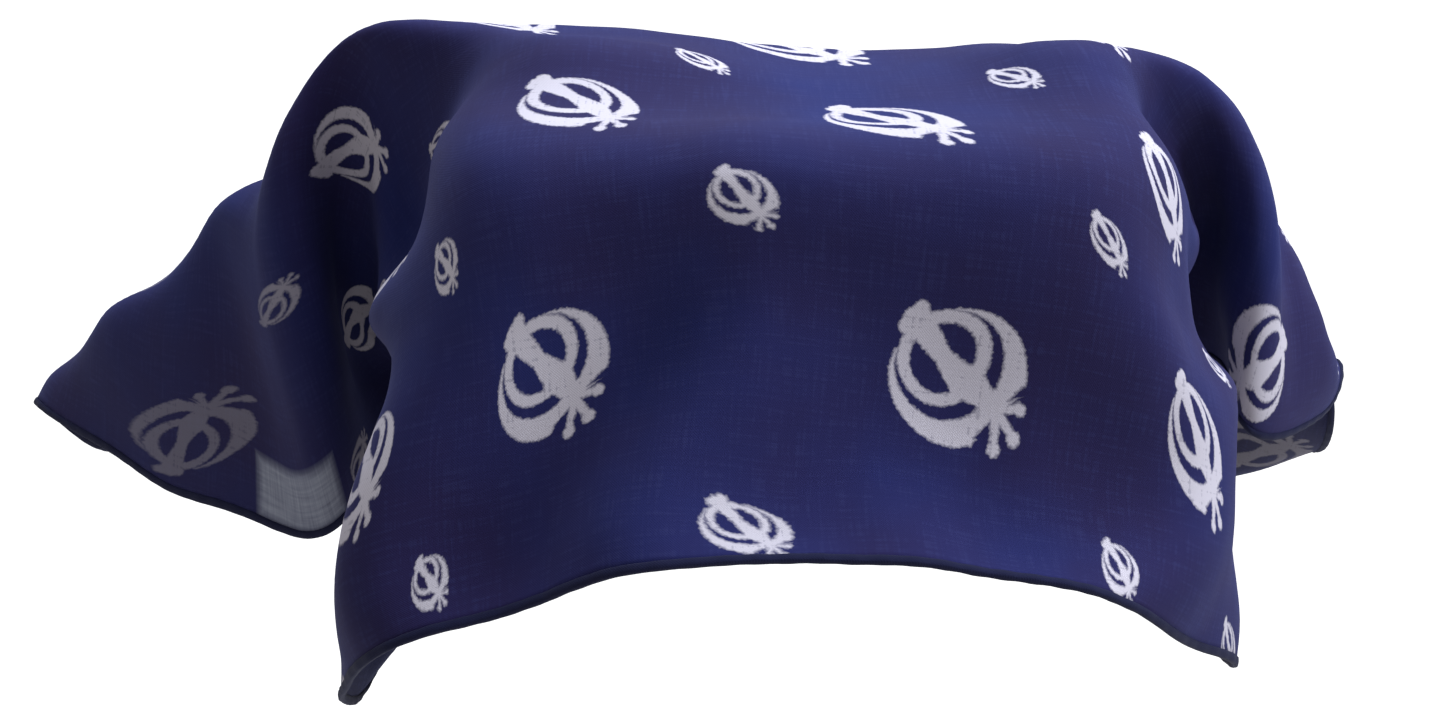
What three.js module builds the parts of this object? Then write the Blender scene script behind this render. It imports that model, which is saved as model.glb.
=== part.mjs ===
// A rumal: a square of printed cotton with four turned hems, draped as it is worn on the crown of the head.
// Millimetres, +Z up, -Y is the front. The origin is where the crown of the head meets the cloth.
import * as THREE from 'three';

// The square as it was cut and hemmed.
const clothSide = 560;
const clothWall = 1.2;
const hemWidth = 7;
const hemWall = 1.8;
const seamGap = 0.7;

// The crown that the cloth lies on, narrow at the front and wide at the back.
// The cloth hangs a little to the left of its middle.
const crownFrontWidth = 186;
const crownBackWidth = 276;
const crownDepth = 146;
const crownRise = 19;
const crownRound = 16;
const crownWallHeight = 80;
const clothLeftOffset = 12;

// How far the drape spreads from the crown's middle, and how far it hangs below it.
const spreadRight = 204;
const spreadLeft = 272;
const spreadFront = 124;
const spreadBack = 250;
const drop = 190;

// Where the front edge of the crown lies on the cloth, measured from the front hem.
const frontPanelLength = 124;

// The grid that the drape is worked out on.
const cells = 44;
const nodesAcross = cells + 1;

// Points of the cloth that the wearer's hands set, and where they set them.
// across and along are shares of the cloth's side, from its left and front hems.
// right and back are shares of the spread on that side. down is a share of the drop, and on the front hem
// a share of the front panel's length.
const heldPoints = [
  { name: 'front left fold', across: 0.114, along: 0, right: -0.478, back: -0.28, down: 1.5935, grip: 0.9 },
  { name: 'front left corner', across: 0, along: 0, right: -0.42, back: 0.09, down: 1.2871, grip: 0.7 },
  { name: 'left hem turned in', across: 0, along: 0.147, right: -0.37, back: 0.33, down: 0.68, grip: 0.6 },
  { name: 'front left cheek', across: 0.16, along: 0.083, right: -0.462, back: -0.4, down: 0.66, grip: 0.4 },
  { name: 'front left arch', across: 0.307, along: 0, right: -0.357, back: -0.95, down: 1.0726, grip: 0.8 },
  { name: 'front left hem', across: 0.4, along: 0, right: -0.224, back: -0.985, down: 0.976, grip: 0.8 },
  { name: 'front middle', across: 0.5, along: 0, right: -0.044, back: -1.0, down: 0.904, grip: 0.9 },
  { name: 'front right hem', across: 0.592, along: 0, right: 0.181, back: -0.985, down: 0.9194, grip: 0.8 },
  { name: 'front right arch', across: 0.684, along: 0, right: 0.412, back: -0.935, down: 0.9914, grip: 0.8 },
  { name: 'front right cheek', across: 0.84, along: 0.12, right: 0.63, back: -0.36, down: 0.52, grip: 0.5 },
  { name: 'front right fold', across: 0.877, along: 0, right: 0.667, back: -0.28, down: 1.494, grip: 0.9 },
  { name: 'front right corner', across: 1, along: 0, right: 0.58, back: 0.09, down: 1.2258, grip: 0.7 },
  { name: 'right hem turned in', across: 1, along: 0.147, right: 0.51, back: 0.33, down: 0.68, grip: 0.6 },
  { name: 'front of the crown', across: 0.5, along: 0.193, right: -0.044, back: -0.63, down: 0.147, grip: 0.6 },
  { name: 'crown left', across: 0.408, along: 0.377, right: -0.23, back: 0.056, down: 0.01, grip: 0.8 },
  { name: 'crown right', across: 0.684, along: 0.377, right: 0.41, back: 0.056, down: 0.02, grip: 0.8 },
  { name: 'left peak', across: 0.27, along: 0.45, right: -0.52, back: 0.24, down: -0.07, grip: 0.8 },
  { name: 'crown back left', across: 0.39, along: 0.469, right: -0.294, back: 0.264, down: -0.055, grip: 0.6 },
  { name: 'right peak', across: 0.776, along: 0.469, right: 0.72, back: 0.265, down: -0.02, grip: 0.7 },
  { name: 'left hem tucked in', across: 0, along: 0.285, right: -0.37, back: 0.48, down: 0.5, grip: 0.4 },
  { name: 'left hem meets fold', across: 0, along: 0.515, right: -0.551, back: 0.2, down: 0.97, grip: 0.8 },
  { name: 'left hem', across: 0, along: 0.644, right: -0.783, back: 0.38, down: 0.91, grip: 0.8 },
  { name: 'left back corner', across: 0.022, along: 0.828, right: -1.04, back: 0.7, down: 0.68, grip: 0.9 },
  { name: 'left ridge high', across: 0.165, along: 0.616, right: -0.73, back: 0.44, down: 0.2, grip: 0.6 },
  { name: 'left ridge low', across: 0.086, along: 0.735, right: -0.935, back: 0.58, down: 0.48, grip: 0.6 },
  { name: 'right hem tucked in', across: 1, along: 0.285, right: 0.53, back: 0.4, down: 0.66, grip: 0.5 },
  { name: 'right hem meets fold', across: 1, along: 0.478, right: 0.745, back: 0.2, down: 0.71, grip: 0.7 },
  { name: 'right back corner', across: 0.978, along: 0.67, right: 0.97, back: 0.56, down: 0.62, grip: 0.9 },
  { name: 'right ridge', across: 0.886, along: 0.588, right: 0.897, back: 0.44, down: 0.42, grip: 0.4 },
  { name: 'back left cloth corner', across: 0, along: 1, right: -0.92, back: 1.0, down: 0.92, grip: 0.7 },
  { name: 'back left wave', across: 0.17, along: 1, right: -0.66, back: 1.13, down: 0.98, grip: 0.7 },
  { name: 'back left dip', across: 0.34, along: 1, right: -0.38, back: 0.98, down: 1.06, grip: 0.7 },
  { name: 'back middle wave', across: 0.5, along: 1, right: -0.07, back: 1.13, down: 1.03, grip: 0.7 },
  { name: 'back right dip', across: 0.66, along: 1, right: 0.3, back: 0.98, down: 1.06, grip: 0.7 },
  { name: 'back right wave', across: 0.83, along: 1, right: 0.68, back: 1.16, down: 0.99, grip: 0.7 },
  { name: 'back right cloth corner', across: 1, along: 1, right: 0.98, back: 1.14, down: 0.87, grip: 0.7 },
];

const sideFoldRound = 21;

// The two upright folds beside the front panel are round, and stand this far out at the crown and at the hem.
// right and back are shares as above, down is a share of the drop, and round is the fold's radius.
const sideFolds = [
  {
    name: 'left side fold',
    top: { right: -0.26, back: -0.35, down: 0.22 },
    low: { right: -0.4, back: -0.28, down: 0.86 },
    round: sideFoldRound,
  },
  {
    name: 'right side fold',
    top: { right: 0.46, back: -0.24, down: 0.2 },
    low: { right: 0.58, back: -0.24, down: 0.86 },
    round: sideFoldRound,
  },
];

// How the cloth settles.
const settleSteps = 200;
const pullSteps = 120;
const solveRounds = 22;
const fallPerStep = 0.35;
const keepSpeed = 0.93;
const shearGrip = 0.22;
const bendGrip = 0.25;
const smoothRounds = 3;
const smoothShare = 0.5;
const rubShare = 0.3;
const nearReach = 2;
const pairSteps = 5;
const layerShare = 0.92;

// Near points are sought box by box, and the box numbers are kept above nought and below the row's length.
const boxShift = 512;
const boxRow = 1024;

// Two grid lines of the walls are never nearer than this share of a cell, except at a seam.
const nearLine = 0.2;

const cellSize = clothSide / cells;
const hemCells = hemWidth / cellSize;
const gapCells = seamGap / cellSize;
const layerGap = layerShare * cellSize;
const crownFrontY = -crownDepth / 2;

function index(i, j) {
  return j * nodesAcross + i;
}

function clamp(value, low, high) {
  return Math.min(Math.max(value, low), high);
}

function mix(from, to, share) {
  return from + (to - from) * share;
}

// The held place of a row of the table, in millimetres.
function heldPlace(row) {
  const x = row.right * (row.right > 0 ? spreadRight : spreadLeft);
  const y = row.back * (row.back > 0 ? spreadBack : spreadFront);
  const z = -row.down * (row.along === 0 ? frontPanelLength : drop);
  return new THREE.Vector3(x, y, z);
}

// The crown's top surface, which rises towards the back.
function crownHeight(y) {
  const share = clamp((y - crownFrontY) / crownDepth, 0, 1);
  return crownRise * (Math.sin(share * Math.PI / 2) - 1);
}

// Moves a point out of the crown, by the shortest way, and says whether it was inside.
function pushOutOfCrown(p) {
  const top = crownHeight(p.y);
  const share = clamp((p.y - crownFrontY) / crownDepth, 0, 1);
  const halfWidth = mix(crownFrontWidth, crownBackWidth, share) / 2;
  const inX = halfWidth - crownRound - Math.abs(p.x);
  const inY = crownDepth / 2 - crownRound - Math.abs(p.y);
  const inZ = top - crownRound - p.z;
  if (p.z < -crownWallHeight) {
    return false;
  }
  const outX = Math.max(-inX, 0);
  const outY = Math.max(-inY, 0);
  const outZ = Math.max(-inZ, 0);
  const out = Math.hypot(outX, outY, outZ);
  if (out > crownRound) {
    return false;
  }
  if (out > 0) {
    const stretch = crownRound / out;
    p.x += Math.sign(p.x) * outX * (stretch - 1);
    p.y += Math.sign(p.y) * outY * (stretch - 1);
    p.z += outZ * (stretch - 1);
    return true;
  }
  const least = Math.min(inX, inY, inZ);
  if (least === inZ) {
    p.z = top;
  } else if (least === inX) {
    p.x = Math.sign(p.x) * halfWidth;
  } else {
    p.y = Math.sign(p.y) * crownDepth / 2;
  }
  return true;
}

// Moves a point out of a round side fold, and says whether it was inside.
function pushOutOfFold(p, fold) {
  const nearest = fold.line.closestPointToPoint(p, true, new THREE.Vector3());
  const distance = nearest.distanceTo(p);
  if (distance >= fold.round || distance === 0) {
    return false;
  }
  p.sub(nearest).multiplyScalar(fold.round / distance).add(nearest);
  return true;
}

// The springs of the cloth: its threads, its shear across each cell and its stiffness to a bend.
function clothSprings() {
  const springs = [];
  const add = (a, b, length, grip, pushOnly) => springs.push({ a, b, length, grip, pushOnly });
  for (let j = 0; j < nodesAcross; j += 1) {
    for (let i = 0; i < nodesAcross; i += 1) {
      const here = index(i, j);
      if (i < cells) {
        add(here, index(i + 1, j), cellSize, 1, false);
      }
      if (j < cells) {
        add(here, index(i, j + 1), cellSize, 1, false);
      }
      if (i < cells && j < cells) {
        add(here, index(i + 1, j + 1), cellSize * Math.SQRT2, shearGrip, false);
        add(index(i + 1, j), index(i, j + 1), cellSize * Math.SQRT2, shearGrip, false);
      }
      if (i < cells - 1) {
        add(here, index(i + 2, j), cellSize * 2, bendGrip, true);
      }
      if (j < cells - 1) {
        add(here, index(i, j + 2), cellSize * 2, bendGrip, true);
      }
    }
  }
  return springs;
}

function pullSpring(points, spring) {
  const a = points[spring.a];
  const b = points[spring.b];
  const dx = b.x - a.x;
  const dy = b.y - a.y;
  const dz = b.z - a.z;
  const length = Math.hypot(dx, dy, dz);
  if (length === 0 || (spring.pushOnly && length > spring.length)) {
    return;
  }
  const move = 0.5 * spring.grip * (length - spring.length) / length;
  a.x += dx * move;
  a.y += dy * move;
  a.z += dz * move;
  b.x -= dx * move;
  b.y -= dy * move;
  b.z -= dz * move;
}

// The pairs of points, not neighbours on the cloth, that are near enough to meet soon.
function nearPairs(points) {
  const reach = nearReach * layerGap;
  const boxes = new Map();
  const boxOf = (value) => Math.floor(value / reach) + boxShift;
  const key = (x, y, z) => (x * boxRow + y) * boxRow + z;
  const pairs = [];
  points.forEach((p, n) => {
    for (let x = -1; x <= 1; x += 1) {
      for (let y = -1; y <= 1; y += 1) {
        for (let z = -1; z <= 1; z += 1) {
          const near = boxes.get(key(boxOf(p.x) + x, boxOf(p.y) + y, boxOf(p.z) + z)) ?? [];
          near.forEach((m) => {
            const apart = Math.max(
              Math.abs(n % nodesAcross - m % nodesAcross),
              Math.abs(Math.floor(n / nodesAcross) - Math.floor(m / nodesAcross)),
            );
            if (apart > 2 && points[m].distanceToSquared(p) < reach * reach) {
              pairs.push([m, n]);
            }
          });
        }
      }
    }
    const home = key(boxOf(p.x), boxOf(p.y), boxOf(p.z));
    if (!boxes.has(home)) {
      boxes.set(home, []);
    }
    boxes.get(home).push(n);
  });
  return pairs;
}

// Keeps two layers of cloth from passing through each other.
function keepLayersApart(points, pairs) {
  pairs.forEach(([n, m]) => {
    const a = points[n];
    const b = points[m];
    const dx = b.x - a.x;
    const dy = b.y - a.y;
    const dz = b.z - a.z;
    const length = Math.hypot(dx, dy, dz);
    if (length >= layerGap || length === 0) {
      return;
    }
    const move = 0.5 * (layerGap - length) / length;
    a.x -= dx * move;
    a.y -= dy * move;
    a.z -= dz * move;
    b.x += dx * move;
    b.y += dy * move;
    b.z += dz * move;
  });
}

// Draws each point towards the middle of its neighbours, and a hem point towards those along the hem.
function smoothCloth(points) {
  const still = points.map((p) => p.clone());
  for (let j = 0; j < nodesAcross; j += 1) {
    for (let i = 0; i < nodesAcross; i += 1) {
      const near = [];
      if (i > 0 && i < cells) {
        near.push(still[index(i - 1, j)], still[index(i + 1, j)]);
      }
      if (j > 0 && j < cells) {
        near.push(still[index(i, j - 1)], still[index(i, j + 1)]);
      }
      if (near.length > 0) {
        const middle = new THREE.Vector3();
        near.forEach((p) => middle.addScaledVector(p, 1 / near.length));
        points[index(i, j)].lerp(middle, smoothShare);
      }
    }
  }
}

// Lets the flat square fall on the crown while the held points are drawn to their places.
function drapeCloth() {
  const points = [];
  for (let j = 0; j < nodesAcross; j += 1) {
    for (let i = 0; i < nodesAcross; i += 1) {
      const x = (i / cells - 0.5) * clothSide - clothLeftOffset;
      const y = crownFrontY - frontPanelLength + (j / cells) * clothSide;
      points.push(new THREE.Vector3(x, y, crownRound));
    }
  }
  const before = points.map((p) => p.clone());
  const springs = clothSprings();
  const held = heldPoints.map((row) => {
    const i = Math.round(row.across * cells);
    const j = Math.round(row.along * cells);
    const point = index(i, j);
    return { point, start: points[point].clone(), end: heldPlace(row), grip: row.grip };
  });
  const folds = sideFolds.map((fold) => ({
    line: new THREE.Line3(heldPlace(fold.top), heldPlace(fold.low)),
    round: fold.round,
  }));
  let pairs = [];
  for (let step = 0; step < settleSteps; step += 1) {
    const share = clamp(step / pullSteps, 0, 1);
    const drawn = share * share * (3 - 2 * share);
    points.forEach((p, n) => {
      const last = before[n];
      const next = p.clone().multiplyScalar(1 + keepSpeed).addScaledVector(last, -keepSpeed);
      next.z -= fallPerStep;
      last.copy(p);
      p.copy(next);
    });
    if (step % pairSteps === 0) {
      pairs = nearPairs(points);
    }
    for (let round = 0; round < solveRounds; round += 1) {
      held.forEach((hand) => {
        const goal = hand.start.clone().lerp(hand.end, drawn);
        points[hand.point].lerp(goal, hand.grip);
      });
      springs.forEach((spring) => pullSpring(points, spring));
      points.forEach((p, n) => {
        const onCrown = pushOutOfCrown(p);
        const onFold = folds.filter((fold) => pushOutOfFold(p, fold)).length > 0;
        if (onCrown || onFold) {
          before[n].lerp(p, rubShare);
        }
      });
      keepLayersApart(points, pairs);
    }
  }
  for (let round = 0; round < smoothRounds; round += 1) {
    smoothCloth(points);
  }
  return points;
}

const draped = drapeCloth();

// A point of the draped sheet at grid place (u, v), counted in cells from the left and front hems.
function sheetPoint(u, v) {
  const i = clamp(Math.floor(u), 0, cells - 1);
  const j = clamp(Math.floor(v), 0, cells - 1);
  const front = draped[index(i, j)].clone().lerp(draped[index(i + 1, j)], u - i);
  const back = draped[index(i, j + 1)].clone().lerp(draped[index(i + 1, j + 1)], u - i);
  return front.lerp(back, v - j);
}

// The two sides of a seam share its middle line, so that their walls stay parallel.
function seamMiddle(place) {
  const middle = hemCells + gapCells / 2;
  if (Math.abs(place - middle) <= gapCells) {
    return middle;
  }
  return Math.abs(cells - place - middle) <= gapCells ? cells - middle : place;
}

// The sheet's outward direction at grid place (u, v).
function sheetNormal(acrossPlace, alongPlace) {
  const u = seamMiddle(acrossPlace);
  const v = seamMiddle(alongPlace);
  const reach = 0.5;
  const acrossU = sheetPoint(Math.min(u + reach, cells), v).sub(sheetPoint(Math.max(u - reach, 0), v));
  const alongV = sheetPoint(u, Math.min(v + reach, cells)).sub(sheetPoint(u, Math.max(v - reach, 0)));
  return acrossU.cross(alongV).normalize();
}

// A closed wall of cloth over the grid places in columns and rows, half of its thickness each side.
function wallGeometry(columns, rows, thickness) {
  const positions = [];
  [0.5, -0.5].forEach((side) => {
    rows.forEach((v) => {
      columns.forEach((u) => {
        const p = sheetPoint(u, v).addScaledVector(sheetNormal(u, v), side * thickness);
        positions.push(p.x, p.y, p.z);
      });
    });
  });
  const across = columns.length;
  const layer = across * rows.length;
  const triangles = [];
  const quad = (a, b, c, d) => triangles.push(a, b, c, a, c, d);
  for (let j = 0; j < rows.length - 1; j += 1) {
    for (let i = 0; i < across - 1; i += 1) {
      const a = j * across + i;
      quad(a, a + 1, a + 1 + across, a + across);
      quad(layer + a, layer + a + across, layer + a + 1 + across, layer + a + 1);
    }
  }
  // Both sides of a seam are cut on the same diagonals, so that their facing walls stay parallel.
  const rimStrip = (start, step, count, forward) => {
    for (let n = 0; n < count; n += 1) {
      const a = start + n * step;
      const b = a + step;
      if (forward) {
        triangles.push(a, a + layer, b + layer, a, b + layer, b);
      } else {
        triangles.push(a, b, b + layer, a, b + layer, a + layer);
      }
    }
  };
  rimStrip(0, 1, across - 1, true);
  rimStrip(across - 1, across, rows.length - 1, true);
  rimStrip((rows.length - 1) * across, 1, across - 1, false);
  rimStrip(0, across, rows.length - 1, false);
  const geometry = new THREE.BufferGeometry();
  geometry.setAttribute('position', new THREE.Float32BufferAttribute(positions, 3));
  geometry.setIndex(triangles);
  geometry.computeVertexNormals();
  return geometry;
}

// Grid lines from one place to another, with every whole line between them.
function gridLines(from, to) {
  const lines = [from];
  for (let line = Math.ceil(from + nearLine); line < to - nearLine; line += 1) {
    lines.push(line);
  }
  lines.push(to);
  return lines;
}

const insideHem = gridLines(hemCells + gapCells, cells - hemCells - gapCells);
const wholeSide = [0, hemCells, ...insideHem, cells - hemCells, cells];

const navyCotton = new THREE.MeshStandardMaterial({ color: 0x23225a, roughness: 0.92, metalness: 0 });
const hemCotton = new THREE.MeshStandardMaterial({ color: 0x1b1a45, roughness: 0.94, metalness: 0 });

const rumal = new THREE.Group();

function addPiece(name, columns, rows, thickness, material) {
  const piece = new THREE.Mesh(wallGeometry(columns, rows, thickness), material);
  piece.name = name;
  rumal.add(piece);
}

addPiece('cloth', insideHem, insideHem, clothWall, navyCotton);
addPiece('hem_front', wholeSide, [0, hemCells], hemWall, hemCotton);
addPiece('hem_back', wholeSide, [cells - hemCells, cells], hemWall, hemCotton);
addPiece('hem_left', [0, hemCells], insideHem, hemWall, hemCotton);
addPiece('hem_right', [cells - hemCells, cells], insideHem, hemWall, hemCotton);

// The origin is on the underside of the cloth, over the middle of the crown.
rumal.position.z = clothWall / 2 - crownHeight(0);

export default rumal;
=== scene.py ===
import math
from collections import namedtuple

import bpy
import numpy as np
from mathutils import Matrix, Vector, kdtree, noise


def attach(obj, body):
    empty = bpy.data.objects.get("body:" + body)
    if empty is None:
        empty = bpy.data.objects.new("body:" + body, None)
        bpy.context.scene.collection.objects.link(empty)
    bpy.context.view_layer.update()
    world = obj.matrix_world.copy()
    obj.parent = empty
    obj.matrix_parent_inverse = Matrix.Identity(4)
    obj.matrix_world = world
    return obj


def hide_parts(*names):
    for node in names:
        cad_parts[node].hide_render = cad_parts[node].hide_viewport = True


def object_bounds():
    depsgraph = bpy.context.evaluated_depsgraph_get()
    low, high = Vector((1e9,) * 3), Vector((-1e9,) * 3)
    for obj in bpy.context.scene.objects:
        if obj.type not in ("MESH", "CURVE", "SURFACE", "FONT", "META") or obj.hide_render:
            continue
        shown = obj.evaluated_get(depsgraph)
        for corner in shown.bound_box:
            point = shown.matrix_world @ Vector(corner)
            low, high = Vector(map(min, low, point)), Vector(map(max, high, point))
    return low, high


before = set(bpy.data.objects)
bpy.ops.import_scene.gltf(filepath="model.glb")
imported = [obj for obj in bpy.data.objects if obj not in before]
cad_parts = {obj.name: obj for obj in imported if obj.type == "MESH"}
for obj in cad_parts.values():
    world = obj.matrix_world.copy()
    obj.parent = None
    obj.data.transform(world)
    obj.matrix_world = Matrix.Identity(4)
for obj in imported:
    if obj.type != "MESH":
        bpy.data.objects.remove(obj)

cad_low, cad_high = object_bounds()

# The cloth
# The rumal is one square of thin plain-weave cotton, cut from a block printed length and hemmed all round.
# It is laid over the crown of a head, where its own weight makes the folds. Nothing fastens it.

CLOTH_SIDE = 0.56
HEM_WIDTH = 0.007
SEAM_GAP = 0.0007
FABRIC = 0.0007
FINE_CELLS = 190
# The solid's own grid and wall, and how near to the wall's thickness an edge across it measures.
GRID_CELLS = 44
CELL = CLOTH_SIDE / GRID_CELLS
CAD_WALL = 0.0012
WALL_TOLERANCE = 0.00002
# A triangle grid's point inside its rim is in more triangles than this, and a corner is in fewer.
RIM_TRIANGLES = 3


def welded(node):
    """The node's points, each once, and its triangles."""
    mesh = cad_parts[node].data
    mesh.calc_loop_triangles()
    points = np.array([v.co for v in mesh.vertices], np.float32)
    triangles = np.array([t.vertices for t in mesh.loop_triangles], int)
    unique, place = np.unique(points, axis=0, return_inverse=True)
    return unique.astype(float), place.reshape(-1)[triangles]


def without_rim(points, triangles):
    """The triangles that don't cross the wall's thickness."""
    keep = np.ones(len(triangles), bool)
    for a, b in ((0, 1), (1, 2), (2, 0)):
        edge = np.linalg.norm(points[triangles[:, a]] - points[triangles[:, b]], axis=1)
        keep &= np.abs(edge - CAD_WALL) > WALL_TOLERANCE
    return triangles[keep]


def connected_sheets(point_count, triangles):
    """The two sides of the wall, each as a set of its triangles."""
    parent = list(range(point_count))

    def root(n):
        while parent[n] != n:
            parent[n] = parent[parent[n]]
            n = parent[n]
        return n

    for a, b, c in triangles:
        parent[root(a)] = root(b)
        parent[root(b)] = root(c)
    labels = np.array([root(a) for a in triangles[:, 0]])
    return [triangles[labels == label] for label in np.unique(labels)]


def facing_up(points, triangles):
    """How much of the sheet faces up, and less than nought where it faces down."""
    a, b, c = (points[triangles[:, k]] for k in range(3))
    return np.cross(b - a, c - a)[:, 2].sum()


def edge_key(a, b):
    return (min(a, b), max(a, b))


def sheet_rows(points, triangles):
    """The sheet's points as rows from the front hem to the back one, each from left to right."""
    across_edge = {}
    for triangle in triangles:
        for k in range(3):
            a, b, c = (int(triangle[(k + n) % 3]) for n in range(3))
            across_edge.setdefault(edge_key(a, b), []).append(c)
    rim = {}
    for (a, b), others in across_edge.items():
        if len(others) == 1:
            rim.setdefault(a, []).append(b)
            rim.setdefault(b, []).append(a)
    uses = np.bincount(triangles.ravel(), minlength=len(points))
    corners = [n for n in rim if uses[n] < RIM_TRIANGLES]
    front = sorted(corners, key=lambda n: points[n][1])[:2]
    left, right = sorted(front, key=lambda n: points[n][0])

    def rim_chain(start, first):
        chain = [start, first]
        while chain[-1] not in corners:
            chain.append(next(n for n in rim[chain[-1]] if n != chain[-2]))
        return chain

    chains = [rim_chain(left, first) for first in rim[left]]
    row = next(chain for chain in chains if chain[-1] == right)
    rows = [row]
    before = set()
    while len(rows) < GRID_CELLS + 1:
        later = [None]
        for a, b in zip(row, row[1:]):
            later.append(next(n for n in across_edge[edge_key(a, b)] if n not in before))
        later[0] = next(n for n in across_edge[edge_key(row[0], later[1])] if n != row[1])
        before = set(row)
        rows.append(later)
        row = later
    return rows


cad_points, cad_triangles = welded("cloth")
sides = connected_sheets(len(cad_points), without_rim(cad_points, cad_triangles))
sides.sort(key=lambda side: -facing_up(cad_points, side))
outer_side, inner_side = sides
rows = sheet_rows(cad_points, outer_side)

inner_points = sorted(set(inner_side.ravel().tolist()))
inner_tree = kdtree.KDTree(len(inner_points))
for place, n in enumerate(inner_points):
    inner_tree.insert(cad_points[n], place)
inner_tree.balance()


def wall_middle(n):
    partner = inner_points[inner_tree.find(cad_points[n])[1]]
    return (cad_points[n] + cad_points[partner]) / 2


inside_grid = np.array([[wall_middle(n) for n in row] for row in rows])


def to_the_edge(grid):
    """The grid's outermost lines moved from the seam out to the cloth's edge, in the same straight line."""
    seam = (HEM_WIDTH + SEAM_GAP) / CELL
    reach = 1 / (1 - seam)
    out = grid.copy()
    out[0] = grid[1] + (grid[0] - grid[1]) * reach
    out[-1] = grid[-2] + (grid[-1] - grid[-2]) * reach
    return out


drape = to_the_edge(inside_grid)
drape = to_the_edge(drape.swapaxes(0, 1)).swapaxes(0, 1)


def spline_weights(places):
    """The share that each grid line has in each place, on a curve that runs through the lines."""
    weights = np.zeros((len(places), GRID_CELLS + 1))
    for row, place in enumerate(places):
        first = min(int(place), GRID_CELLS - 1)
        t = place - first
        shares = (
            (-1, (-t + 2 * t**2 - t**3) / 2),
            (0, (2 - 5 * t**2 + 3 * t**3) / 2),
            (1, (t + 4 * t**2 - 3 * t**3) / 2),
            (2, (t**3 - t**2) / 2),
        )
        for step, share in shares:
            line = first + step
            if line < 0:
                weights[row, 0] += 2 * share
                weights[row, 1] -= share
            elif line > GRID_CELLS:
                weights[row, -1] += 2 * share
                weights[row, -2] -= share
            else:
                weights[row, line] += share
    return weights


# Pulls on the cloth: where on it, in metres from the left and front hems, how far it moves, and how wide.
Pull = namedtuple("Pull", "name across along move reach")
PULLS = (
    Pull("crown front lifted", 0.235, 0.235, (0.0, 0.0, 0.005), 0.055),
    Pull("right shoulder drawn in", 0.445, 0.235, (-0.009, 0.0, -0.004), 0.050),
    Pull("right hollow deepened", 0.430, 0.182, (-0.004, 0.020, -0.015), 0.027),
    Pull("right flank drawn in", 0.440, 0.062, (-0.011, 0.006, 0.0), 0.040),
    Pull("right corner lifted", 0.550, 0.440, (0.0, 0.0, 0.018), 0.060),
    Pull("left ridge lifted out", 0.098, 0.302, (-0.006, 0.0, 0.010), 0.036),
    Pull("left hollow deepened", 0.146, 0.180, (0.010, 0.036, -0.014), 0.036),
    Pull("left dent pressed down", 0.176, 0.204, (0.0, 0.010, -0.018), 0.026),
    Pull("left flank drawn in", 0.168, 0.085, (0.012, 0.006, 0.0), 0.036),
)


def pulled(grid):
    """The drape with the pulls of the table."""
    lines = np.arange(GRID_CELLS + 1) * CELL
    out = grid.copy()
    for pull in PULLS:
        away = np.hypot(lines[None, :] - pull.across, lines[:, None] - pull.along)
        out += np.exp(-((away / pull.reach) ** 2))[..., None] * np.array(pull.move)
    return out


drape = pulled(drape)

# Soft creases that the washed cotton keeps, longer from hem to hem than they are wide.
Crease = namedtuple("Crease", "length height seed")
CREASES = (
    Crease(0.085, 0.0026, 3.0),
    Crease(0.038, 0.0014, 11.0),
    Crease(0.016, 0.00040, 23.0),
)
CREASE_STRETCH = 0.45
SLOPE_STEP = 0.002


def crease_height(u, v):
    """How far a crease lifts the cloth at u, v metres from its left and front edges."""
    height = 0.0
    for crease in CREASES:
        place = Vector((u / crease.length, v * CREASE_STRETCH / crease.length, crease.seed))
        height += crease.height * noise.noise(place)
    return height


def cloth_surface(across, along):
    """Points and outward directions of the cloth at those distances from its left and front edges."""
    weights_across = spline_weights(np.array(across) / CELL)
    weights_along = spline_weights(np.array(along) / CELL)
    points = np.einsum("va,ub,abk->vuk", weights_along, weights_across, drape)
    start_across = np.clip(np.array(across), 0, CLOTH_SIDE - SLOPE_STEP)
    start_along = np.clip(np.array(along), 0, CLOTH_SIDE - SLOPE_STEP)
    step_across = spline_weights((start_across + SLOPE_STEP) / CELL) - spline_weights(start_across / CELL)
    step_along = spline_weights((start_along + SLOPE_STEP) / CELL) - spline_weights(start_along / CELL)
    to_right = np.einsum("va,ub,abk->vuk", weights_along, step_across, drape)
    to_back = np.einsum("va,ub,abk->vuk", step_along, weights_across, drape)
    outward = np.cross(to_right, to_back)
    outward /= np.linalg.norm(outward, axis=2, keepdims=True)
    lift = np.array([[crease_height(u, v) for u in across] for v in along])
    return points + outward * lift[..., None], outward


# Where the camera stands, and its focal length in pixels of the picture.
PICTURE_SIZE = (1445, 724)
FOCAL_PIXELS = 2300.0
CAMERA_PLACE = (-0.0186, -0.6823, 0.0726)
CAMERA_PITCH = math.radians(13.0)

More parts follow.
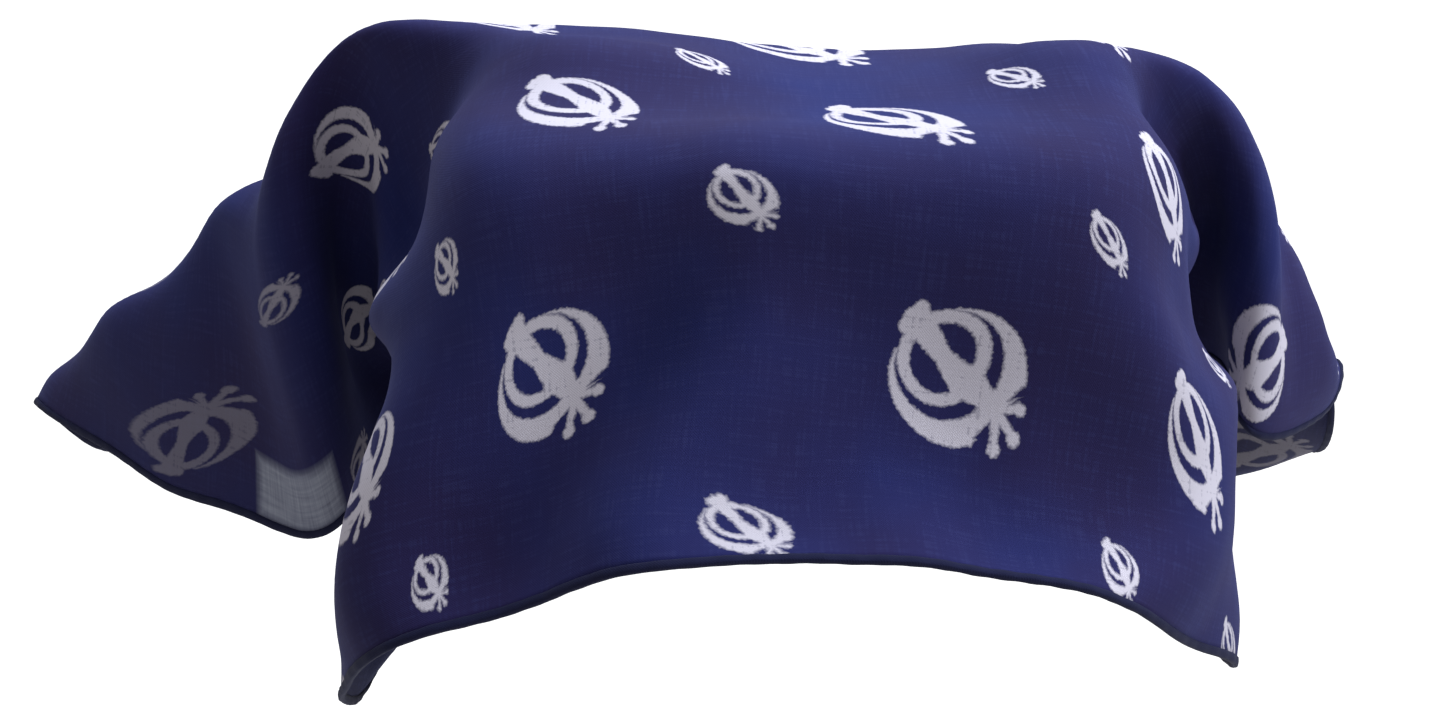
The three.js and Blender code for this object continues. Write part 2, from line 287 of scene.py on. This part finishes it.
# The middles of the khandas as read off the picture, in pixels from its top left corner.
# across and along number the print's rows from the square's middle and from its front hem.
# The last twelve are the handles, tip and both blades of three khandas: one on the left flap, two in front.
Seen = namedtuple("Seen", "across along pixel_x pixel_y")
KHANDAS_SEEN = (
    Seen(-1.0, 0.0, 427, 582),
    Seen(0.0, 0.0, 748, 534),
    Seen(1.0, 0.0, 1122, 572),
    Seen(-1.5, 0.5, 368, 470),
    Seen(-0.5, 0.5, 555, 372),
    Seen(0.5, 0.5, 955, 378),
    Seen(1.5, 0.5, 1198, 445),
    Seen(-1.0, 1.0, 450, 268),
    Seen(0.0, 1.0, 748, 195),
    Seen(1.0, 1.0, 1110, 247),
    Seen(-0.5, 1.5, 592, 105),
    Seen(0.5, 1.5, 898, 120),
    Seen(1.5, 1.5, 1168, 195),
    Seen(0.0, 2.0, 705, 62),
    Seen(1.0, 2.0, 1022, 78),
    Seen(-1.5, 2.5, 360, 145),
    Seen(-2.0, 3.0, 275, 300),
    Seen(-2.5, 3.5, 190, 430),
    Seen(-2.42, 3.38, 207, 408),
    Seen(-2.63, 3.70, 164, 474),
    Seen(-2.40, 3.66, 126, 424),
    Seen(-2.66, 3.37, 246, 438),
    Seen(-0.42, 0.38, 578, 396),
    Seen(-0.64, 0.67, 510, 339),
    Seen(-0.36, 0.60, 600, 323),
    Seen(-0.68, 0.39, 504, 428),
    Seen(0.58, 0.38, 995, 413),
    Seen(0.36, 0.67, 911, 320),
    Seen(0.64, 0.60, 1015, 328),
    Seen(0.32, 0.39, 908, 424),
)
PITCH = 0.103
# How far the first row's middle lies behind the front hem, in pitches.
PRINT_SHIFT = 0.05
# How loosely the print follows the khandas seen, how near one it does so in full, and over what it fades.
SLIDE_EASE = 0.002
SLIDE_NEAR = 0.045
SLIDE_FADE = 0.055
SMALLEST_SQUARE = 1e-12
# How finely the cloth is searched for each khanda's place, and how deep its front layer is.
SEARCH_STEP = 0.002
SEARCH_PIXELS = 6.0
FRONT_LAYER = 0.015


def in_picture(points):
    """Where points show in the picture, in pixels, and how far each is from the camera."""
    away = points - np.array(CAMERA_PLACE)
    depth = away[..., 1] * math.cos(CAMERA_PITCH) - away[..., 2] * math.sin(CAMERA_PITCH)
    rise = away[..., 1] * math.sin(CAMERA_PITCH) + away[..., 2] * math.cos(CAMERA_PITCH)
    x = PICTURE_SIZE[0] / 2 + FOCAL_PIXELS * away[..., 0] / depth
    y = PICTURE_SIZE[1] / 2 - FOCAL_PIXELS * rise / depth
    return x, y, depth


def print_slide():
    """Gives how far the print lies from even rows at any place, so that khandas show where they were seen."""
    spots = np.arange(SEARCH_STEP, CLOTH_SIDE, SEARCH_STEP)
    surface, _ = cloth_surface(spots, spots)
    x, y, depth = in_picture(surface)
    places = []
    slides = []
    for row in KHANDAS_SEEN:
        miss = np.hypot(x - row.pixel_x, y - row.pixel_y)
        near = miss < max(SEARCH_PIXELS, miss.min() + SEARCH_PIXELS / 2)
        near &= depth < depth[near].min() + FRONT_LAYER
        v, u = np.unravel_index(np.argmin(np.where(near, miss, np.inf)), miss.shape)
        even = (CLOTH_SIDE / 2 + row.across * PITCH, (row.along + PRINT_SHIFT) * PITCH)
        places.append((spots[u], spots[v]))
        slides.append((even[0] - spots[u], even[1] - spots[v]))
    places = np.array(places)
    slides = np.array(slides)
    count = len(places)

    def bending(asked, held):
        square = ((asked[:, None] - held[None]) ** 2).sum(axis=2) / PITCH**2
        return square * np.log(np.maximum(square, SMALLEST_SQUARE))

    def plane(asked):
        return np.column_stack([np.ones(len(asked)), asked / PITCH])

    system = np.zeros((count + 3, count + 3))
    system[:count, :count] = bending(places, places) + SLIDE_EASE * np.eye(count)
    system[:count, count:] = plane(places)
    system[count:, :count] = plane(places).T
    shares = np.linalg.solve(system, np.vstack([slides, np.zeros((3, 2))]))

    def slide(asked):
        full = bending(asked, places) @ shares[:count] + plane(asked) @ shares[count:]
        nearest = np.linalg.norm(asked[:, None] - places[None], axis=2).min(axis=1)
        fade = np.exp(-((np.maximum(nearest - SLIDE_NEAR, 0) / SLIDE_FADE) ** 2))
        return full * fade[:, None]

    return slide


slide_at = print_slide()


def mesh_object(name, points, faces, uvs, materials):
    """A smooth mesh with one UV place in metres of cloth for each of its points."""
    mesh = bpy.data.meshes.new(name)
    mesh.from_pydata([tuple(p) for p in points], [], faces)
    layer = mesh.uv_layers.new(name="cloth")
    print_layer = mesh.uv_layers.new(name="print")
    corner_points = np.zeros(len(mesh.loops), np.int32)
    mesh.loops.foreach_get("vertex_index", corner_points)
    flat = np.array(uvs, float)
    printed = flat + slide_at(flat)
    layer.data.foreach_set("uv", flat.astype(np.float32)[corner_points].ravel())
    print_layer.data.foreach_set("uv", printed.astype(np.float32)[corner_points].ravel())
    mesh.polygons.foreach_set("use_smooth", np.ones(len(mesh.polygons), bool))
    for material in materials:
        mesh.materials.append(material)
    made = bpy.data.objects.new(name, mesh)
    bpy.context.scene.collection.objects.link(made)
    return made


def wall_mesh(name, across, along, thickness, face, reverse):
    """A closed wall of cloth between those distances, half of its thickness each side."""
    middle, outward = cloth_surface(across, along)
    flat_uv = np.array([[(u, v) for u in across] for v in along]).reshape(-1, 2)
    columns, lines = len(across), len(along)
    layer = columns * lines
    points = np.concatenate([
        (middle + outward * thickness / 2).reshape(-1, 3),
        (middle - outward * thickness / 2).reshape(-1, 3),
    ])
    faces = []
    for j in range(lines - 1):
        for i in range(columns - 1):
            a = j * columns + i
            b, c, d = a + 1, a + 1 + columns, a + columns
            faces.append((a, b, c, d))
            faces.append((layer + a, layer + d, layer + c, layer + b))
    rim = [j * columns + i for j, i in (
        [(0, i) for i in range(columns)]
        + [(j, columns - 1) for j in range(1, lines)]
        + [(lines - 1, i) for i in range(columns - 2, -1, -1)]
        + [(j, 0) for j in range(lines - 2, 0, -1)]
    )]
    for a, b in zip(rim, rim[1:] + rim[:1]):
        faces.append((a, layer + a, layer + b, b))
    made = mesh_object(name, points, faces, np.concatenate([flat_uv, flat_uv]), (face, reverse))
    on_reverse = [int(any(n >= layer for n in corners)) for corners in faces]
    made.data.polygons.foreach_set("material_index", np.array(on_reverse, np.int32))
    return made


# The cotton is dyed navy, then the white motif is pressed on by hand from a wooden block, in rows of a large
# khanda with a small one between. The print sits on the weave, so its edge is ragged and it wears thin.
MOTIF_TURN = math.radians(33.5)
BIG_CENTRE = 0.14
SMALL_SIZE = 0.44
INK_EDGE = 0.010


class Maths:
    """Short names for a node tree's math nodes, so that a formula reads as one."""

    def __init__(self, tree):
        self.tree = tree

    def put(self, kind, a, b=None):
        node = self.tree.nodes.new("ShaderNodeMath")
        node.operation = kind
        for socket, value in zip(node.inputs, (a, b)):
            if isinstance(value, bpy.types.NodeSocket):
                self.tree.links.new(value, socket)
            elif value is not None:
                socket.default_value = value
        return node.outputs[0]

    def add(self, a, b):
        return self.put("ADD", a, b)

    def sub(self, a, b):
        return self.put("SUBTRACT", a, b)

    def mul(self, a, b):
        return self.put("MULTIPLY", a, b)

    def least(self, a, b):
        return self.put("MINIMUM", a, b)

    def most(self, a, b):
        return self.put("MAXIMUM", a, b)

    def size(self, x, y):
        return self.put("SQRT", self.add(self.mul(x, x), self.mul(y, y)))

    def clamped(self, value, low=0.0, high=1.0):
        return self.least(self.most(value, low), high)

    def rising(self, value, start, slope, low=0.0):
        """Rises from nought at start by slope, up to one, and is never under low."""
        return self.clamped(self.mul(self.sub(value, start), slope), low)

    def disc(self, x, y, centre, radius):
        """How far outside a disc a place is, and less than nought inside it."""
        return self.sub(self.size(self.sub(x, centre[0]), self.sub(y, centre[1])), radius)

    def bar(self, x, y, start, end, half_width, end_half_width):
        """How far outside a bar from start to end, which may widen, a place is."""
        run = (end[0] - start[0], end[1] - start[1])
        square = run[0] ** 2 + run[1] ** 2
        from_x = self.sub(x, start[0])
        from_y = self.sub(y, start[1])
        along = self.add(self.mul(from_x, run[0] / square), self.mul(from_y, run[1] / square))
        along = self.clamped(along)
        off = self.size(self.sub(from_x, self.mul(along, run[0])), self.sub(from_y, self.mul(along, run[1])))
        return self.sub(off, self.add(self.mul(along, end_half_width - half_width), half_width))

    def turned(self, x, y, angle):
        cosine = math.cos(angle)
        sine = math.sin(angle)
        return (
            self.sub(self.mul(x, cosine), self.mul(y, sine)),
            self.add(self.mul(x, sine), self.mul(y, cosine)),
        )


def node_group(name, inputs, outputs):
    """A shader node group with those named sockets, its input and output nodes and its maths."""
    group = bpy.data.node_groups.new(name, "ShaderNodeTree")
    for socket, kind, value in inputs:
        made = group.interface.new_socket(socket, in_out="INPUT", socket_type=kind)
        if value is not None:
            made.default_value = value
    for socket, kind in outputs:
        group.interface.new_socket(socket, in_out="OUTPUT", socket_type=kind)
    return group, group.nodes.new("NodeGroupInput"), group.nodes.new("NodeGroupOutput"), Maths(group)


def placed(tree, group, **given):
    """A node that holds the group, with its inputs linked or set."""
    node = tree.nodes.new("ShaderNodeGroup")
    node.node_tree = group
    for name, value in given.items():
        socket = node.inputs[name.replace("_", " ")]
        if isinstance(value, bpy.types.NodeSocket):
            tree.links.new(value, socket)
        else:
            socket.default_value = value
    return node


# The motif's places are in pitches, from where its three handles cross, with y towards the sword's tip.
Bar = namedtuple("Bar", "start end half_width end_half_width")
Disc = namedtuple("Disc", "centre radius")
SWORD = (
    Bar((-0.004, -0.082), (-0.004, 0.0), 0.011, 0.015),
    Bar((0.0, 0.0), (0.0, 0.11), 0.018, 0.050),
    Bar((0.0, 0.11), (-0.006, 0.215), 0.046, 0.024),
    Bar((-0.006, 0.215), (-0.014, 0.345), 0.024, 0.042),
    Bar((-0.048, 0.352), (0.014, 0.368), 0.022, 0.022),
)
HANDLES = (
    Bar((0.0, 0.0), (0.048, -0.032), 0.012, 0.011),
    Bar((0.0, 0.0), (-0.066, -0.068), 0.016, 0.010),
    Bar((-0.060, 0.012), (0.060, 0.024), 0.024, 0.024),
)
KNOBS = (
    Disc((0.056, -0.038), 0.018),
    Disc((-0.005, -0.087), 0.020),
    Disc((-0.070, -0.074), 0.019),
)
RING = Disc((-0.014, 0.213), 0.115)
RING_HALF_WIDTH = 0.018
BLADES_OUTSIDE = Disc((-0.022, 0.145), 0.193)
BLADES_INSIDE = Disc((-0.018, 0.187), 0.153)
BLADE_TIP_HEIGHT = 0.318
GUARD_CUTS = (
    Bar((-0.150, -0.062), (-0.052, -0.014), 0.030, 0.004),
    Bar((0.138, -0.016), (0.044, 0.000), 0.022, 0.004),
)
# Below this height and this far each side, the blades leave room for the handles.
HANDLE_ROOM_TOP = -0.012
HANDLE_ROOM_HALF_WIDTH = 0.095


def khanda_group():
    """One khanda: how white the print is at x, y in pitches from where its handles cross."""
    group, given, result, m = node_group(
        "khanda",
        [("X", "NodeSocketFloat", 0.0), ("Y", "NodeSocketFloat", 0.0), ("Edge", "NodeSocketFloat", INK_EDGE)],
        [("Print", "NodeSocketFloat")],
    )
    x = given.outputs["X"]
    y = given.outputs["Y"]
    shape = m.sub(m.put("ABSOLUTE", m.disc(x, y, *RING)), RING_HALF_WIDTH)
    for bar in SWORD + HANDLES:
        shape = m.least(shape, m.bar(x, y, *bar))
    for knob in KNOBS:
        shape = m.least(shape, m.disc(x, y, *knob))
    blades = m.most(m.disc(x, y, *BLADES_OUTSIDE), m.mul(m.disc(x, y, *BLADES_INSIDE), -1.0))
    blades = m.most(blades, m.sub(y, BLADE_TIP_HEIGHT))
    for cut in GUARD_CUTS:
        blades = m.most(blades, m.mul(m.bar(x, y, *cut), -1.0))
    room = m.most(m.sub(m.put("ABSOLUTE", x), HANDLE_ROOM_HALF_WIDTH), m.sub(y, HANDLE_ROOM_TOP))
    blades = m.most(blades, m.mul(room, -1.0))
    shape = m.least(shape, blades)
    white = m.add(m.put("DIVIDE", m.mul(shape, -1.0), given.outputs["Edge"]), 0.5)
    group.links.new(m.clamped(white), result.inputs["Print"])
    return group


khanda = khanda_group()
# The ink spreads along the threads: how fine its ragged edge is, and how far it strays, in pitches.
RAGGED_SCALE = 900.0
RAGGED_DETAIL = 3.0
RAGGED_REACH = 0.016


def print_group():
    """The whole block print: big khandas and small ones between, from the cloth's own metres."""
    group, given, result, m = node_group(
        "block_print",
        [("Cloth", "NodeSocketVector", None)],
        [("Print", "NodeSocketFloat")],
    )
    nodes = group.nodes
    links = group.links
    ragged = nodes.new("ShaderNodeTexNoise")
    ragged.inputs["Scale"].default_value = RAGGED_SCALE
    ragged.inputs["Detail"].default_value = RAGGED_DETAIL
    links.new(given.outputs["Cloth"], ragged.inputs["Vector"])
    stray = nodes.new("ShaderNodeSeparateColor")
    links.new(ragged.outputs["Color"], stray.inputs["Color"])
    parts = nodes.new("ShaderNodeSeparateXYZ")
    links.new(given.outputs["Cloth"], parts.inputs["Vector"])
    across = m.mul(m.sub(parts.outputs["X"], CLOTH_SIDE / 2), 1 / PITCH)
    along = m.sub(m.mul(parts.outputs["Y"], 1 / PITCH), PRINT_SHIFT)
    across = m.add(across, m.mul(m.sub(stray.outputs["Red"], 0.5), RAGGED_REACH))
    along = m.add(along, m.mul(m.sub(stray.outputs["Green"], 0.5), RAGGED_REACH))
    whites = []
    for offset, scale in ((0.0, 1.0), (0.5, SMALL_SIZE)):
        cell_across = m.sub(m.put("FRACT", m.add(across, offset)), 0.5)
        cell_along = m.sub(m.put("FRACT", m.add(along, offset)), 0.5)
        x, y = m.turned(cell_across, cell_along, -MOTIF_TURN)
        x = m.mul(x, 1 / scale)
        y = m.add(m.mul(y, 1 / scale), BIG_CENTRE)
        whites.append(placed(group, khanda, X=x, Y=y, Edge=INK_EDGE / scale).outputs["Print"])
    links.new(m.most(*whites), result.inputs["Print"])
    return group


block_print = print_group()
# Half waves of thread in a metre. Uneven threads, called slubs, are fine one way and long the other.
THREADS = 2600.0
SLUB_FINE = 900.0
SLUB_LONG = 60.0
THREAD_RELIEF = 0.5
SLUB_RELIEF = 2.0


def weave_group():
    """The plain weave: how high its threads stand and where they are thick, from the cloth's own metres."""
    group, given, result, m = node_group(
        "plain_weave",
        [("Cloth", "NodeSocketVector", None), ("Threads", "NodeSocketFloat", THREADS)],
        [("Relief", "NodeSocketFloat"), ("Slub", "NodeSocketFloat")],
    )
    nodes = group.nodes
    links = group.links
    parts = nodes.new("ShaderNodeSeparateXYZ")
    links.new(given.outputs["Cloth"], parts.inputs["Vector"])
    turn = m.mul(given.outputs["Threads"], math.pi)
    warp = m.put("SINE", m.mul(parts.outputs["X"], turn))
    weft = m.put("SINE", m.mul(parts.outputs["Y"], turn))
    slubs = []
    for scale in ((SLUB_FINE, SLUB_LONG, 1.0), (SLUB_LONG, SLUB_FINE, 1.0)):
        stretch = nodes.new("ShaderNodeMapping")
        stretch.inputs["Scale"].default_value = scale
        links.new(given.outputs["Cloth"], stretch.inputs["Vector"])
        thread = nodes.new("ShaderNodeTexNoise")
        thread.inputs["Scale"].default_value = 1.0
        thread.inputs["Detail"].default_value = 1.0
        links.new(stretch.outputs["Vector"], thread.inputs["Vector"])
        slubs.append(thread.outputs[0])
    slub = m.mul(m.add(*slubs), 0.5)
    links.new(slub, result.inputs["Slub"])
    relief = m.add(m.mul(m.mul(warp, weft), THREAD_RELIEF), m.mul(slub, SLUB_RELIEF))
    links.new(relief, result.inputs["Relief"])
    return group


plain_weave = weave_group()
BLACK = (0.0, 0.0, 0.0, 1.0)
NAVY = (0.0108, 0.0160, 0.0980, 1.0)
NAVY_PURPLE = (0.0150, 0.0108, 0.0600, 1.0)
DYE_SPOTS = 9.0
DYE_SPOT_DETAIL = 4.0
DYE_SPOT_START = 0.33
DYE_SPOT_SLOPE = 4.0
# Pale fibres that stand out of the thickest threads.
FIBRE = (0.0300, 0.0340, 0.1250, 1.0)
FIBRE_START = 0.52
FIBRE_SLOPE = 8.0
FIBRE_SHARE = 0.28
# A painted patch of light shining through the cotton by the left hem: its middle, half sizes and soft edge,
# in metres of cloth.
SHINE_THROUGH_PAINT = (0.34, 0.36, 0.44, 1.0)
PATCH_MIDDLE = (0.012, 0.292)
PATCH_HALF = (0.011, 0.024)
PATCH_EDGE = 0.004
PATCH_EVEN = 0.2
PATCH_THREADS = 1.2
INK = (0.54, 0.50, 0.56, 1.0)
INK_WEAR_START = 0.22
INK_WEAR_SLOPE = 5.0
INK_LEAST = 0.72
# Towards the back left corner the print is darkened as painted shade: its middle, its reach, and how fast and
# far it goes.
PRINT_SHADE_MIDDLE = (0.040, 0.360)
PRINT_SHADE_REACH = 0.140
PRINT_SHADE_SLOPE = 2.0
PRINT_SHADE_LOSS = 0.72


def mixed(tree, factor, a, b):
    """A colour between a and b."""
    node = tree.nodes.new("ShaderNodeMix")
    node.data_type = "RGBA"
    sockets = {socket.identifier: socket for socket in node.inputs}
    for name, value in (("Factor_Float", factor), ("A_Color", a), ("B_Color", b)):
        if isinstance(value, bpy.types.NodeSocket):
            tree.links.new(value, sockets[name])
        else:
            sockets[name].default_value = value
    return next(socket for socket in node.outputs if socket.identifier == "Result_Color")


def cotton_group():
    """The dyed and printed cotton: its colour and relief, from the cloth's own metres and the print's."""
    group, given, result, m = node_group(
        "dyed_cotton",
        [
            ("Cloth", "NodeSocketVector", None),
            ("Print Place", "NodeSocketVector", None),
            ("Dye Share", "NodeSocketFloat", 1.0),
            ("Ink Share", "NodeSocketFloat", 1.0),
        ],
        [("Colour", "NodeSocketColor"), ("Relief", "NodeSocketFloat")],
    )
    nodes = group.nodes
    links = group.links
    weave = placed(group, plain_weave, Cloth=given.outputs["Cloth"])
    slub = weave.outputs["Slub"]
    spots = nodes.new("ShaderNodeTexNoise")
    spots.inputs["Scale"].default_value = DYE_SPOTS
    spots.inputs["Detail"].default_value = DYE_SPOT_DETAIL
    links.new(given.outputs["Cloth"], spots.inputs["Vector"])
    dye = mixed(group, m.rising(spots.outputs[0], DYE_SPOT_START, DYE_SPOT_SLOPE), NAVY, NAVY_PURPLE)
    # Below a full dye share the colour is darkened towards black.
    dye = mixed(group, given.outputs["Dye Share"], BLACK, dye)
    dye = mixed(group, m.mul(m.rising(slub, FIBRE_START, FIBRE_SLOPE), FIBRE_SHARE), dye, FIBRE)

    parts = nodes.new("ShaderNodeSeparateXYZ")
    links.new(given.outputs["Cloth"], parts.inputs["Vector"])
    # Painted light: a paler patch by the left hem, where light shines through the cloth.
    off_x = m.sub(m.put("ABSOLUTE", m.sub(parts.outputs["X"], PATCH_MIDDLE[0])), PATCH_HALF[0])
    off_y = m.sub(m.put("ABSOLUTE", m.sub(parts.outputs["Y"], PATCH_MIDDLE[1])), PATCH_HALF[1])
    patch = m.clamped(m.put("DIVIDE", m.mul(m.most(off_x, off_y), -1.0), PATCH_EDGE))
    painted_shine_through = m.mul(patch, m.add(m.mul(slub, PATCH_THREADS), PATCH_EVEN))
    dye = mixed(group, painted_shine_through, dye, SHINE_THROUGH_PAINT)

    # Painted shade: the print darkens towards the back left corner, where the flap lies in shadow.
    from_x = m.sub(parts.outputs["X"], PRINT_SHADE_MIDDLE[0])
    from_y = m.sub(parts.outputs["Y"], PRINT_SHADE_MIDDLE[1])
    print_shade = m.clamped(m.mul(m.sub(1.0, m.mul(m.size(from_x, from_y), 1 / PRINT_SHADE_REACH)), PRINT_SHADE_SLOPE))
    print_unshaded = m.sub(1.0, m.mul(print_shade, PRINT_SHADE_LOSS))
    speckle = m.rising(slub, INK_WEAR_START, INK_WEAR_SLOPE, INK_LEAST)
    printed = placed(group, block_print, Cloth=given.outputs["Print Place"])
    ink = m.mul(m.mul(m.mul(printed.outputs["Print"], speckle), print_unshaded), given.outputs["Ink Share"])
    links.new(mixed(group, ink, dye, INK), result.inputs["Colour"])
    links.new(weave.outputs["Relief"], result.inputs["Relief"])
    return group


dyed_cotton = cotton_group()
COTTON_FINISH = {
    "Roughness": 0.9,
    "Specular IOR Level": 0.15,
    "Sheen Weight": 0.06,
    "Sheen Roughness": 0.5,
    "Sheen Tint": (0.35, 0.40, 0.95, 1.0),
}
COTTON_BUMP = {"Strength": 0.25, "Distance": 0.0002}


def new_material(name, finish):
    """A material with those values on its shader."""
    material = bpy.data.materials.new(name)
    material.use_nodes = True
    shader = material.node_tree.nodes["Principled BSDF"]
    for socket, value in finish.items():
        shader.inputs[socket].default_value = value
    return material


def uv_place(tree, layer):
    """Where the surface lies in one of the mesh's two UV layers."""
    node = tree.nodes.new("ShaderNodeUVMap")
    node.uv_map = layer
    return node.outputs["UV"]


def raised(tree, relief, bump):
    """The relief as small bumps in the shader's normal."""
    node = tree.nodes.new("ShaderNodeBump")
    for socket, value in bump.items():
        node.inputs[socket].default_value = value
    tree.links.new(relief, node.inputs["Height"])
    tree.links.new(node.outputs["Normal"], tree.nodes["Principled BSDF"].inputs["Normal"])


def cotton_material(name, dye_share, ink_share):
    """Navy cotton with the white print, dull, with a slight fuzz that catches light at the folds."""
    material = new_material(name, COTTON_FINISH)
    tree = material.node_tree
    cotton = placed(
        tree,
        dyed_cotton,
        Cloth=uv_place(tree, "cloth"),
        Print_Place=uv_place(tree, "print"),
        Dye_Share=dye_share,
        Ink_Share=ink_share,
    )
    tree.links.new(cotton.outputs["Colour"], tree.nodes["Principled BSDF"].inputs["Base Color"])
    raised(tree, cotton.outputs["Relief"], COTTON_BUMP)
    return material


# On the reverse side the dye is mixed halfway to black, and the ink only partly soaks through.
REVERSE_DYE = 0.5
REVERSE_INK = 0.35
cotton_face = cotton_material("printed_cotton", 1.0, 1.0)
cotton_reverse = cotton_material("printed_cotton_reverse", REVERSE_DYE, REVERSE_INK)

ROLL_WIDTH = 0.0028
cloth_lines = np.linspace(ROLL_WIDTH / 2, CLOTH_SIDE - ROLL_WIDTH / 2, FINE_CELLS + 1)
cloth = wall_mesh("rumal_cloth", cloth_lines, cloth_lines, FABRIC, cotton_face, cotton_reverse)
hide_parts("cloth")
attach(cloth, "root")

# The four turned hems
# Each edge is rolled over twice and sewn down by machine, so that it is thicker and darker than the cloth.
# The seam draws the hem in between stitches, which makes the edge slightly wavy.

HEM_THICK = 0.0020
HEM_RING = 12
HEM_STEPS = 280
PUCKER = 0.00025
PUCKER_LENGTH = 0.0085
# Powers under one that square a round section off, across the hem and through it.
SQUARE_ACROSS = 0.6
SQUARE_THROUGH = 0.7
HEM_FINISH = {
    "Base Color": (0.0065, 0.0075, 0.0340, 1.0),
    "Roughness": 0.92,
    "Specular IOR Level": 0.15,
    "Sheen Weight": 0.03,
    "Sheen Roughness": 0.5,
}
HEM_BUMP = {"Strength": 0.3, "Distance": 0.0003}

hem_cotton = new_material("hem_cotton", HEM_FINISH)
hem_weave = placed(hem_cotton.node_tree, plain_weave, Cloth=uv_place(hem_cotton.node_tree, "cloth"))
raised(hem_cotton.node_tree, hem_weave.outputs["Relief"], HEM_BUMP)


def squared(value, power):
    """A sine or cosine with its sign kept and its size raised to the power."""
    return math.copysign(abs(value) ** power, value)


def hem_mesh(name, side):
    """A rolled hem along one side of the square: front, back, left or right."""
    sits_along = side in ("front", "back")
    margin = 0.0 if sits_along else ROLL_WIDTH
    length = np.linspace(margin, CLOTH_SIDE - margin, HEM_STEPS + 1)
    low = 0.0 if side in ("front", "left") else CLOTH_SIDE - ROLL_WIDTH
    widths = [low, low + ROLL_WIDTH / 2, low + ROLL_WIDTH]
    if sits_along:
        surface, outward = cloth_surface(length, widths)
    else:
        surface, outward = cloth_surface(widths, length)
        surface = surface.swapaxes(0, 1)
        outward = outward.swapaxes(0, 1)
    points = []
    uvs = []
    for n, place in enumerate(length):
        edge_a, middle, edge_b = surface[:, n]
        up = outward[1, n]
        swell = 1 + (PUCKER / HEM_THICK) * math.sin(2 * math.pi * place / PUCKER_LENGTH)
        for k in range(HEM_RING):
            angle = 2 * math.pi * k / HEM_RING
            across = squared(math.cos(angle), SQUARE_ACROSS)
            rise = squared(math.sin(angle), SQUARE_THROUGH)
            in_width = middle + (edge_b - edge_a) / 2 * across
            points.append(in_width + up * rise * HEM_THICK / 2 * swell)
            width_uv = low + ROLL_WIDTH * (across + 1) / 2
            uvs.append((place, width_uv) if sits_along else (width_uv, place))
    faces = []
    for n in range(HEM_STEPS):
        for k in range(HEM_RING):
            a = n * HEM_RING + k
            b = n * HEM_RING + (k + 1) % HEM_RING
            faces.append((a, b, b + HEM_RING, a + HEM_RING))
    last = HEM_STEPS * HEM_RING
    faces.append(tuple(range(HEM_RING - 1, -1, -1)))
    faces.append(tuple(range(last, last + HEM_RING)))
    return mesh_object(name, points, faces, uvs, (hem_cotton,))


for side in ("front", "back", "left", "right"):
    hem = hem_mesh("rumal_hem_" + side, side)
    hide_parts("hem_" + side)
    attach(hem, "root")

# The stage, camera and light
# The cloth hangs in front of plain white, seen from a little above its front hem. Soft light comes from above
# and from the right. The floor shows white but throws no light back, so that the hollows stay dark.

FLOOR_DROP = 1.2
FLOOR_REACH = 400.0
FLOOR_FINISH = {
    "Base Color": (0.97, 0.97, 0.97, 1.0),
    "Roughness": 1.0,
    "Emission Color": (1.0, 1.0, 1.0, 1.0),
    "Emission Strength": 0.85,
}
floor_height = cad_low.z - FLOOR_DROP
floor_corners = [
    (x * FLOOR_REACH, y * FLOOR_REACH, floor_height) for x, y in ((-1, -1), (1, -1), (1, 1), (-1, 1))
]
floor_mesh = bpy.data.meshes.new("floor")
floor_mesh.from_pydata(floor_corners, [], [(0, 1, 2, 3)])
floor_mesh.materials.append(new_material("floor_pale", FLOOR_FINISH))
floor = bpy.data.objects.new("floor", floor_mesh)
floor.visible_diffuse = False
bpy.context.scene.collection.objects.link(floor)

AIR_STRENGTH = 0.38
bpy.context.scene.view_settings.view_transform = "Standard"
air = bpy.data.worlds.new("studio")
bpy.context.scene.world = air
air.use_nodes = True
air.node_tree.nodes["Background"].inputs["Color"].default_value = (1.0, 1.0, 1.0, 1.0)
air.node_tree.nodes["Background"].inputs["Strength"].default_value = AIR_STRENGTH

SoftBox = namedtuple("SoftBox", "name place aim size power colour")
SOFT_BOXES = (
    SoftBox("top_box", (0.15, 0.35, 1.1), (0.0, 0.05, 0.0), 0.8, 24.0, (0.82, 0.90, 1.0)),
    SoftBox("right_box", (1.2, -0.35, 0.45), (0.05, 0.0, -0.1), 0.6, 16.0, (0.84, 0.91, 1.0)),
)
for box in SOFT_BOXES:
    light = bpy.data.lights.new(box.name, "AREA")
    light.shape = "SQUARE"
    light.size = box.size
    light.energy = box.power
    light.color = box.colour
    lamp = bpy.data.objects.new(box.name, light)
    lamp.location = box.place
    lamp.rotation_euler = (Vector(box.aim) - Vector(box.place)).to_track_quat("-Z", "Y").to_euler()
    bpy.context.scene.collection.objects.link(lamp)

SENSOR_WIDTH = 36.0
camera_data = bpy.data.cameras.new("camera")
camera_data.sensor_width = SENSOR_WIDTH
camera_data.lens = SENSOR_WIDTH * FOCAL_PIXELS / PICTURE_SIZE[0]
camera_data.dof.use_dof = False
camera = bpy.data.objects.new("camera", camera_data)
camera.location = CAMERA_PLACE
camera.rotation_euler = (math.pi / 2 - CAMERA_PITCH, 0.0, 0.0)
bpy.context.scene.collection.objects.link(camera)
bpy.context.scene.camera = camera
